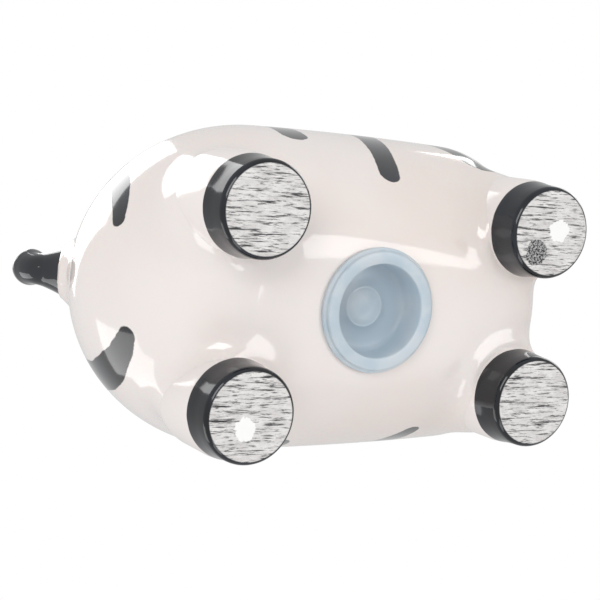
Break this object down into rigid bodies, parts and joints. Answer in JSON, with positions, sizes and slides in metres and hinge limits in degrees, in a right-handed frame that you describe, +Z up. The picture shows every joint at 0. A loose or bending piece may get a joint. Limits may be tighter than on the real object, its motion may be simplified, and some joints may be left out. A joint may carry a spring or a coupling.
{
  "type": "animal coin bank",
  "caption": "Hollow striped ceramic animal bank on four feet, with a coin slot in its back and a pull-out stopper in its belly.",
  "frame": {"origin": "on the standing plane, half-way along, across the whole bank's box", "axes": "+X to the head, +Y to the animal's left, +Z up"},
  "size_m": [0.2098, 0.117, 0.1625],
  "materials": {
    "white_glaze": "gloss",
    "black_glaze": "gloss",
    "clear_silicone": "satin"
  },
  "bodies": {
    "bank": {"body_shell": "white_glaze", "head_shell": "white_glaze", "leg_front_left": "black_glaze", "leg_front_right": "black_glaze", "leg_rear_left": "black_glaze", "leg_rear_right": "black_glaze", "tail": "black_glaze", "ear_left": "white_glaze", "ear_right": "white_glaze", "mane": "black_glaze"},
    "stopper": {"stopper_plug": "clear_silicone"}
  },
  "joints": [
    {"name": "stopper_pull", "type": "slide", "parent": "bank", "child": "stopper", "axis": [0, 0, -1], "range_m": [0, 0.085]}
  ]
}
